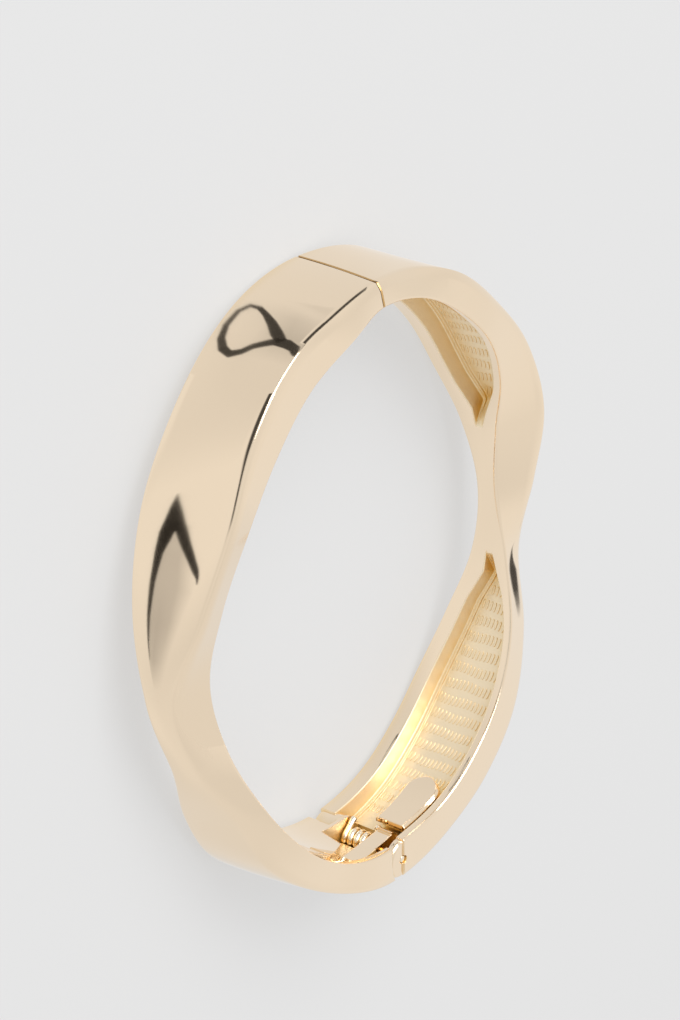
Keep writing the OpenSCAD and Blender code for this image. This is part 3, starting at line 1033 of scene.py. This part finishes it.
# The shade between the ring and the near edge, and inside the ring
card("ring_shade", [
    [(16, -0.1, 0), (16, 0.1, 0), (16, 0.35, 0), (16, 0.6, 0), (16, 0.85, 0)],
    [(20, -0.1, 0.1), (20, 0.1, 0.15), (20, 0.3, 0.2), (20, 0.55, 0.1), (20, 0.9, 0)],
    [(25, -0.1, 0.2), (25, 0.1, 0.3), (25, 0.25, 0.3), (25, 0.55, 0.06), (25, 0.9, 0)],
    [(31, -0.1, 0), (31, 0.1, 0), (31, 0.3, 0), (31, 0.55, 0.03), (31, 0.9, 0)],
    [(40, -0.1, 0), (40, 0.1, 0), (40, 0.3, 0), (40, 0.55, 0), (40, 0.9, 0)],
])
# The dark claw: its two legs and the shade between them
stroke("claw_far", [
    (55.8, 0.62, 0.02), (58.2, 0.62, 0.45), (60.5, 0.62, 0.75), (62.5, 0.65, 0.75),
    (65.0, 0.68, 0.5), (69.5, 0.7, 0.3), (75.0, 0.71, 0.2), (79.0, 0.7, 0.14), (82.0, 0.68, 0.06),
], 1.0, 0.05)
stroke("claw_near", [
    (56.2, 0.61, 0.02), (58.5, 0.57, 0.45), (60.8, 0.51, 0.65), (62.8, 0.43, 0.55),
    (64.8, 0.34, 0.45), (66.6, 0.26, 0.35), (67.6, 0.22, 0.2), (68.6, 0.2, 0.04),
], 1.0, 0.06)
card("claw_shade", [
    [(60, 0.68, 0), (60, 0.56, 0.3), (60, 0.48, 0.2), (60, 0.4, 0)],
    [(65, 0.72, 0.36), (65, 0.58, 0.36), (65, 0.46, 0.36), (65, 0.3, 0)],
    [(70, 0.74, 0.36), (70, 0.58, 0.36), (70, 0.42, 0.34), (70, 0.22, 0)],
    [(76, 0.74, 0.36), (76, 0.58, 0.4), (76, 0.44, 0.32), (76, 0.3, 0)],
    [(82, 0.72, 0.2), (82, 0.6, 0.35), (82, 0.48, 0.2), (82, 0.36, 0)],
    [(87, 0.7, 0), (87, 0.6, 0), (87, 0.5, 0), (87, 0.4, 0)],
])
# The dark line along the bevel beside the seam: strengths and leans across it
LINE = ((0, 0.16), (0.95, 0.22), (0.95, 0.42), (0, 0.5))
LINE_U = 0.07
card("bevel_line", [
    [(a, LINE_U, tone * dark, lean) for tone, lean in LINE]
    for a, dark in [(2, 0.8)] + [(a, 1) for a in range(6, 58, 4)] + [(60, 0.6), (64, 0)]
])
# The dark spindle on the near side of the other waist
card("spindle_card", [
    [(a, low - 0.1, 0), (a, low, dark), (a, high, dark), (a, high + 0.1, 0)]
    for a, low, high, dark in (
        (256, 0.1, 0.2, 0), (255, 0.08, 0.35, 0.9), (252, 0.08, 0.55, 0.95), (248, 0.15, 0.6, 0.95),
        (245, 0.3, 0.62, 0.7), (242, 0.45, 0.55, 0),
    )
], DARK, near_face, SPINDLE_DISTANCE)
# A pale card inside the oval, so that the front waist mirrors no pocket: places and leans across it
WAIST = ((-0.1, 0.7), (-0.1, 0), (0.5, 0), (1.0, 0), (1.0, -0.6))
WAIST_SHOWN = (56, 100)
card("waist_card", [
    [(a, u, int(WAIST_SHOWN[0] < a < WAIST_SHOWN[1]), lean) for u, lean in WAIST]
    for a in range(46, 111, 8)
], PALE, near_face, WAIST_DISTANCE)


# The room and its lamp

ROOM_LEAST = 0.75
ROOM_MOST = 0.86
PATCH_SCALE = 1.1
LAMP_SPOT = (-0.06, 0.85, 0.7)
LAMP_SIZE = 0.8
LAMP_POWER = 9.5


def make_room():
    world = bpy.data.worlds.new("room")
    bpy.context.scene.world = world
    world.use_nodes = True
    tree = world.node_tree
    sky = tree.nodes["Background"]
    sky.inputs["Color"].default_value = (1, 1, 1, 1)
    # Broad soft patches, as the sides of a studio give
    coords = node(tree, "TexCoord")
    patches = node(tree, "TexNoise", Scale=PATCH_SCALE, Detail=0)
    ramp = node(
        tree, "MapRange", From_Min=0.3, From_Max=0.7, To_Min=ROOM_LEAST, To_Max=ROOM_MOST
    )
    tree.links.new(coords.outputs["Generated"], patches.inputs["Vector"])
    tree.links.new(patches.outputs["Fac"], ramp.inputs["Value"])
    tree.links.new(ramp.outputs["Result"], sky.inputs["Strength"])


def make_lamp():
    data = bpy.data.lights.new("key", "AREA")
    data.shape = "RECTANGLE"
    data.size = data.size_y = LAMP_SIZE
    data.energy = LAMP_POWER
    ob = bpy.data.objects.new("key", data)
    bpy.context.scene.collection.objects.link(ob)
    ob.location = LAMP_SPOT
    # It is aimed at the origin
    ob.rotation_euler = (-Vector(LAMP_SPOT)).to_track_quat("-Z", "Y").to_euler()


make_room()
make_lamp()
bpy.context.scene.view_settings.view_transform = "Standard"

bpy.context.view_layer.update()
